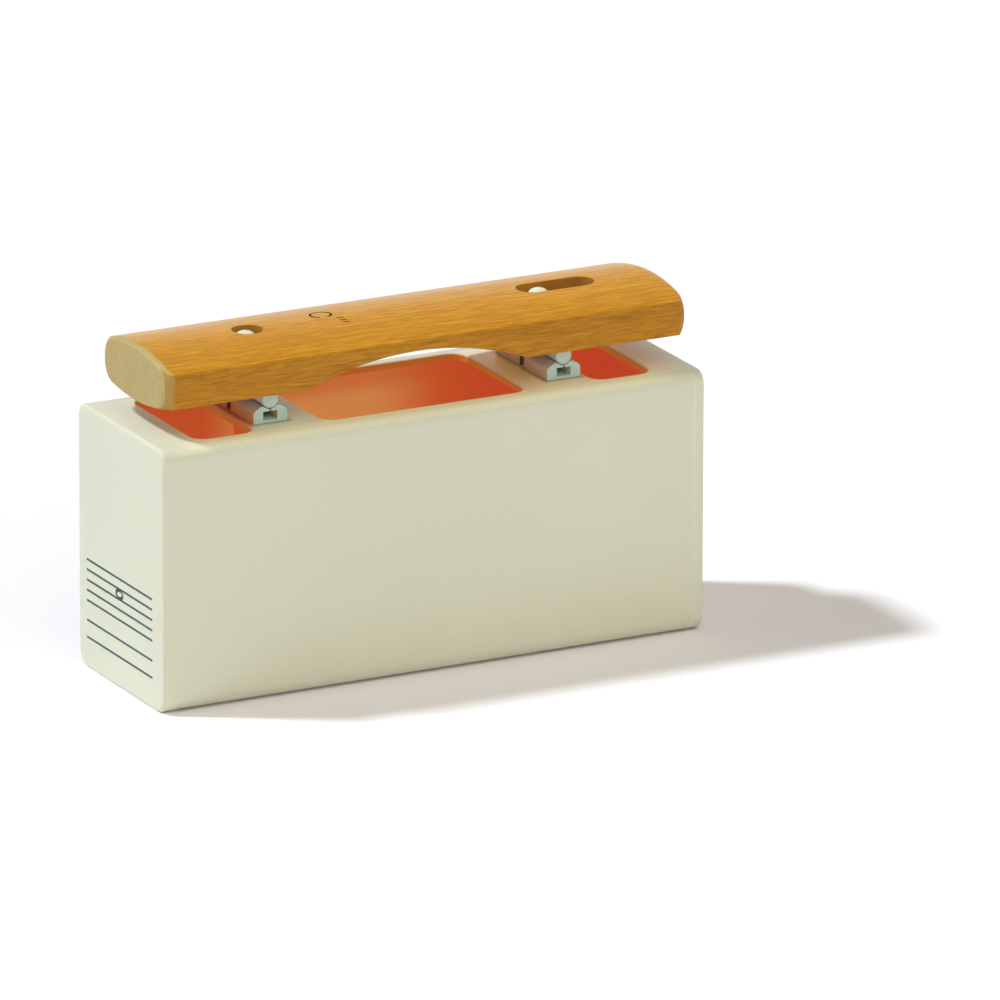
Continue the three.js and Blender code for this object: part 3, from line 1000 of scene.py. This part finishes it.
class RESONATOR_OT_make_sleeves(bpy.types.Operator):
    """Model the two domed sleeves on the guide pins"""

    bl_idname = "resonator.make_sleeves"
    bl_label = "Pin sleeves"

    def execute(self, context):
        soft = context.scene.resonator_bar.soft
        rubber = finish("sleeve_white_rubber", paint_rubber, tuple(soft.sleeve))
        for name in ("pin_sleeve_left", "pin_sleeve_right"):
            low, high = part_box(name)
            sleeve = skin(name.replace("pin", "domed"), [loft(sleeve_rings(soft, low, high))])
            dress(sleeve, "resonator", rubber, sharp=45, replaced=[name])
        return {"FINISHED"}


class RESONATOR_OT_make_bar(bpy.types.Operator):
    """Model the tone bar with its arch, hole and slot, and finish it in lacquered wood"""

    bl_idname = "resonator.make_bar"
    bl_label = "Tone bar"

    def execute(self, context):
        bar = context.scene.resonator_bar.bar
        piece = skin("tone_bar_wood", [loft(bar_blank(bar))])
        radius = bar.hole_diameter / 2
        slot_from = SUPPORT_X - bar.slot_lead - radius
        hole_x = bar.hole_shift - SUPPORT_X
        hole = opening(bar, hole_x - radius, hole_x + radius)
        slot = opening(bar, slot_from, slot_from + bar.slot_length)
        cut(piece, [hole, slot])
        wood = finish("honey_lacquered_wood", paint_wood, bar)
        dress(piece, "bar", wood, sharp=20, replaced=["tone_bar"])
        return {"FINISHED"}


class RESONATOR_OT_print_pitch_mark(bpy.types.Operator):
    """Print the pitch letter and its three octave ticks on the bar"""

    bl_idname = "resonator.print_pitch_mark"
    bl_label = "Pitch mark"

    def execute(self, context):
        settings = context.scene.resonator_bar
        prints = settings.prints

        def on_crown(x, y, height):
            return (x, y, crown_height(settings.bar, y) + height)

        strokes = [stroke(*self.letter(), on_crown, prints.film)]
        for tick_y in (-1.65 * MM, -4.1 * MM, -6.4 * MM):
            strokes.append(stroke(*self.tick(tick_y), on_crown, prints.film))
        mark = skin("pitch_mark", strokes)
        ink = finish("brown_mark_ink", paint_ink, tuple(prints.mark_ink))
        dress(mark, "bar", ink, sharp=30)
        return {"FINISHED"}

    def letter(self):
        """Path of the letter, an open ring, and its widths, thick at the sides."""
        middle_x = -25.1 * MM
        middle_y = 3.8 * MM
        half_width = 3.6 * MM
        half_height = 3.5 * MM
        thin = 0.54 * MM
        swell = 0.34 * MM
        angles = spaced(math.radians(-78), math.radians(242), LETTER_STEPS)
        path = oval(middle_x, middle_y, half_width, half_height, angles)
        return path, [thin + swell * abs(math.cos(angle)) for angle in angles]

    def tick(self, tick_y):
        """Path of one slanting tick, and its growing widths."""
        tick_x = -22 * MM
        reach = 2.4 * MM
        slant = 0.7 * MM
        thin = 0.44 * MM
        swell = 0.36 * MM
        parts = spaced(0, 1, TICK_STEPS)
        path = [(tick_x + reach * part, tick_y - slant * part) for part in parts]
        return path, [thin + swell * part for part in parts]


class RESONATOR_OT_print_staff(bpy.types.Operator):
    """Print a plain staff with one whole note on the left end of the box"""

    bl_idname = "resonator.print_staff"
    bl_label = "Staff print"

    def execute(self, context):
        prints = context.scene.resonator_bar.prints
        middle = 1.2 * MM
        staff_lines = 5
        rule_drops = (7 * MM, 13 * MM)

        def on_end(y, z, height):
            return (BOX_LOW.x - height, y, z)

        heights = [prints.staff_base + line * prints.staff_space for line in range(staff_lines)]
        heights += [prints.staff_base - drop for drop in rule_drops]
        reach = prints.staff_width / 2
        places = spaced(middle - reach, middle + reach, LINE_STEPS)
        widths = [prints.line_width] * len(places)
        strokes = []
        for z in heights:
            line = [(y, z) for y in places]
            strokes.append(stroke(line, widths, on_end, prints.film))
        path, widths = self.note(prints, middle)
        strokes.append(stroke(path, widths, on_end, prints.film, loop=True))
        staff = skin("staff_print", strokes)
        ink = finish("teal_staff_ink", paint_ink, tuple(prints.staff_ink))
        dress(staff, "resonator", ink, sharp=30)
        return {"FINISHED"}

    def note(self, prints, middle):
        """Path of a whole note in the third space, and its widths, thick at two sides."""
        note_z = prints.staff_base + 2.5 * prints.staff_space
        half_space = (prints.staff_space - prints.line_width) / 2
        half_width = 1.75 * half_space
        half_height = 0.9 * half_space
        thin = 0.6 * MM
        swell = 0.75 * MM
        lean = 0.4
        angles = full_turn(NOTE_STEPS)
        path = oval(middle, note_z, half_width, half_height, angles)
        return path, [thin + swell * abs(math.cos(angle - lean)) for angle in angles]


class RESONATOR_OT_set_stage(bpy.types.Operator):
    """Set up the floor, the studio light, the background and the camera"""

    bl_idname = "resonator.set_stage"
    bl_label = "Stage"

    def execute(self, context):
        stage = context.scene.resonator_bar.stage
        self.lay_floor(context, stage)
        self.light(context, stage)
        self.place_camera(context, stage)
        context.scene.view_settings.view_transform = "Standard"
        return {"FINISHED"}

    def seen(self, start):
        """1 for what the camera sees, straight or in a gloss or glass."""
        straight, gloss, glass = [
            start.node("ShaderNodeLightPath", outlet=f"Is {ray} Ray")
            for ray in ("Camera", "Glossy", "Transmission")
        ]
        return higher(higher(straight, gloss), glass)

    def lay_floor(self, context, stage):
        """A wide white floor that keeps the shadow."""
        reach = 6.0
        corners = [(-reach, -reach, 0), (reach, -reach, 0), (reach, reach, 0), (-reach, reach, 0)]
        mesh = bpy.data.meshes.new("floor")
        mesh.from_pydata(corners, [], [(0, 1, 2, 3)])
        floor = bpy.data.objects.new("floor", mesh)
        context.scene.collection.objects.link(floor)
        material = bpy.data.materials.new("white_floor")
        start = emptied(material)
        sockets = {
            "Base Color": opaque(tuple(stage.floor)),
            "Roughness": 1.0,
            "Specular IOR Level": 0.0,
            "Emission Color": self.seen(start),
            "Emission Strength": stage.floor_lift,
        }
        shader = start.node("ShaderNodeBsdfPrincipled", sockets=sockets)
        start.node("ShaderNodeOutputMaterial", sockets={"Surface": shader})
        mesh.materials.append(material)

    def light(self, context, stage):
        """Two soft suns, and even light before a white background."""
        key_travel = (0.62, -0.38, -1.0)
        front_travel = (-0.05, 0.737, -0.676)
        key_spread = math.radians(6)
        front_spread = math.radians(60)
        lamps = {
            "key": (key_travel, stage.key, key_spread, stage.key_tone),
            "front": (front_travel, stage.front, front_spread, stage.front_tone),
        }
        for name, (travel, energy, spread, tone) in lamps.items():
            lamp = bpy.data.lights.new(name, "SUN")
            lamp.energy = energy
            lamp.angle = spread
            lamp.color = tone
            holder = bpy.data.objects.new(name, lamp)
            holder.rotation_euler = Vector(travel).to_track_quat("-Z", "Y").to_euler()
            context.scene.collection.objects.link(holder)
        world = bpy.data.worlds.new("studio")
        start = emptied(world)
        seen = self.seen(start)
        sockets = {
            "Color": blend(seen, tuple(stage.sky_tone), (1.0, 1.0, 1.0)),
            "Strength": seen * (1.0 - stage.sky) + stage.sky,
        }
        backdrop = start.node("ShaderNodeBackground", sockets=sockets)
        start.node("ShaderNodeOutputWorld", sockets={"Surface": backdrop})
        context.scene.world = world

    def place_camera(self, context, stage):
        """A far camera, a little above the box and to the left of its front."""
        turn = math.radians(27.342)
        rise = math.radians(17.554)
        roll = math.radians(0.137)
        target = Vector((40.69, 0.0, 46.03)) * MM
        back = Vector(
            (-math.sin(turn) * math.cos(rise), -math.cos(turn) * math.cos(rise), math.sin(rise))
        )
        level = Vector((math.cos(turn), -math.sin(turn), 0.0))
        upright = back.cross(level)
        right = math.cos(roll) * level + math.sin(roll) * upright
        up = back.cross(right)
        data = bpy.data.cameras.new("camera")
        data.lens = stage.lens
        data.sensor_width = 36
        data.sensor_fit = "HORIZONTAL"
        data.clip_start = 0.1
        data.clip_end = 30
        camera = bpy.data.objects.new("camera", data)
        pose = Matrix((right, up, back)).transposed().to_4x4()
        pose.translation = target + back * stage.camera_distance
        camera.matrix_world = pose
        context.scene.collection.objects.link(camera)
        context.scene.camera = camera


OPERATORS = (
    RESONATOR_OT_set_stage,
    RESONATOR_OT_dress_shell,
    RESONATOR_OT_dress_supports,
    RESONATOR_OT_make_cords,
    RESONATOR_OT_dress_pins,
    RESONATOR_OT_make_sleeves,
    RESONATOR_OT_make_bar,
    RESONATOR_OT_print_pitch_mark,
    RESONATOR_OT_print_staff,
)


class RESONATOR_PT_panel(bpy.types.Panel):
    """Lists the pieces of the resonator bar"""

    bl_idname = "RESONATOR_PT_panel"
    bl_label = "Resonator bar"
    bl_space_type = "VIEW_3D"
    bl_region_type = "UI"
    bl_category = "Resonator bar"

    def draw(self, context):
        for operator in OPERATORS:
            self.layout.operator(operator.bl_idname)


CLASSES = (
    ShellSettings,
    SupportSettings,
    SoftSettings,
    BarSettings,
    PrintSettings,
    StageSettings,
    ResonatorSettings,
    *OPERATORS,
    RESONATOR_PT_panel,
)


def register():
    for cls in CLASSES:
        bpy.utils.register_class(cls)
    bpy.types.Scene.resonator_bar = PointerProperty(type=ResonatorSettings)


def unregister():
    del bpy.types.Scene.resonator_bar
    for cls in reversed(CLASSES):
        bpy.utils.unregister_class(cls)


def main():
    register()
    bpy.ops.resonator.set_stage()
    bpy.ops.resonator.dress_shell()
    bpy.ops.resonator.dress_supports()
    bpy.ops.resonator.make_cords()
    bpy.ops.resonator.dress_pins()
    bpy.ops.resonator.make_sleeves()
    bpy.ops.resonator.make_bar()
    bpy.ops.resonator.print_pitch_mark()
    bpy.ops.resonator.print_staff()


if __name__ == "__main__":
    main()
